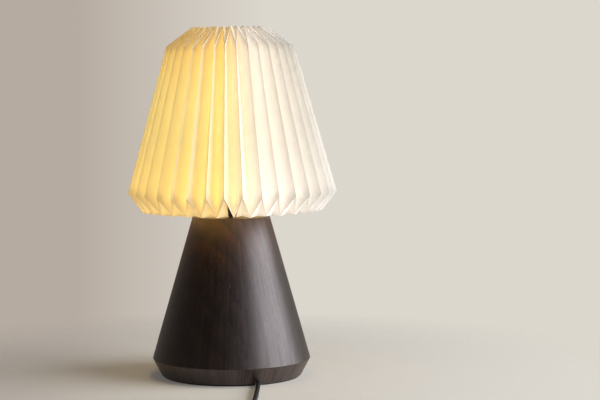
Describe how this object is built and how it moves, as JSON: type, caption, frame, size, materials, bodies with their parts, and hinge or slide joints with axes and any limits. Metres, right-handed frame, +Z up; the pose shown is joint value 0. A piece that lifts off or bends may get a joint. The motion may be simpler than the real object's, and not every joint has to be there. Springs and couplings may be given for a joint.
{
  "type": "table lamp",
  "caption": "Table lamp with a pleated paper shade on a turned dark wooden cone, its cord with in-line switch and plug coiled in front.",
  "frame": {"origin": "centre of the base's underside, on the surface that the lamp stands on", "axes": "+Z up along the lamp's axis, -Y to the front, where the cord leaves the base, +X to the right"},
  "size_m": [0.2553, 0.5461, 0.4186],
  "materials": {
    "dark_wood": "stained, semi-gloss lacquer",
    "felt": "black felt",
    "black_tube": "blackened",
    "zinc": "zinc plated",
    "cord": "satin black sheath",
    "screw": "zinc plated",
    "holder_black": "moulded, satin",
    "insulator": "unglazed",
    "brass": "plain",
    "core": "insulated core",
    "wire_white": "white powder coat",
    "solder": "solder",
    "black_glass": "vitreous",
    "bulb_metal": "nickel plated",
    "bulb_white": "white",
    "opal_glass": "opal, lit warm",
    "shade_paper": "matt lampshade paper",
    "tie": "flat strap",
    "switch_black": "fine texture",
    "rocker_black": "polished",
    "relief_rubber": "satin",
    "plug_black": "fine texture",
    "pin_nickel": "nickel plated"
  },
  "bodies": {
    "lamp": {"wooden_base": "dark_wood", "felt_ring": "felt", "threaded_tube": "black_tube", "lower_washer": "zinc", "lower_nut": "zinc", "top_washer": "zinc", "top_nut": "zinc", "held_lead": "cord", "cord_clamp": "zinc", "clamp_screws": "screw", "lampholder_cap": "holder_black", "lampholder_skirt": "holder_black", "shade_ring_nut": "holder_black", "holder_insulator": "insulator", "screw_shell": "brass", "centre_contact": "brass", "terminal_screws": "brass", "cord_cores": "core", "carrier_hub": "wire_white", "carrier_legs": "wire_white", "cord_front": "cord", "cord_side": "cord", "cord_coil": "cord", "cord_tail": "cord", "cord_tie": "tie", "switch_lower": "switch_black", "switch_upper": "switch_black", "switch_screws": "screw", "switch_contacts": "brass", "switch_reliefs": "relief_rubber", "rocker_pin": "zinc", "plug_body": "plug_black", "plug_pins": "pin_nickel", "plug_relief": "relief_rubber"},
    "neck": {"neck_ring": "wire_white"},
    "shade": {"paper_shade": "shade_paper"},
    "bulb_tip": {"bulb_contact": "solder"},
    "bulb": {"bulb_insulator": "black_glass", "bulb_cap": "bulb_metal", "bulb_collar": "bulb_white", "bulb_globe": "opal_glass"},
    "rocker": {"rocker": "rocker_black"}
  },
  "joints": [
    {"name": "shade_lift", "type": "slide", "parent": "lamp", "child": "neck", "axis": [0, 0, 1], "range_m": [0, 0.21]},
    {"name": "shade_turn", "type": "hinge", "parent": "neck", "child": "shade", "pos_m": [0, 0, 0.328], "axis": [-0.0131, 0, 0.9999], "continuous": true},
    {"name": "bulb_rise", "type": "slide", "parent": "lamp", "child": "bulb_tip", "axis": [0, 0, 1], "range_m": [0, 0.0128]},
    {"name": "bulb_turn", "type": "hinge", "parent": "bulb_tip", "child": "bulb", "pos_m": [0, 0, 0.3], "axis": [0, 0, 1], "range_deg": [0, 1260]},
    {"name": "switch_rocker", "type": "hinge", "parent": "lamp", "child": "rocker", "pos_m": [0.0315, -0.304, 0.0125], "axis": [1, 0, 0], "range_deg": [-14, 0]}
  ],
  "couplings": [
    {"joint": "bulb_rise", "follows": "bulb_turn", "m_per_rad": 0.00057773}
  ]
}
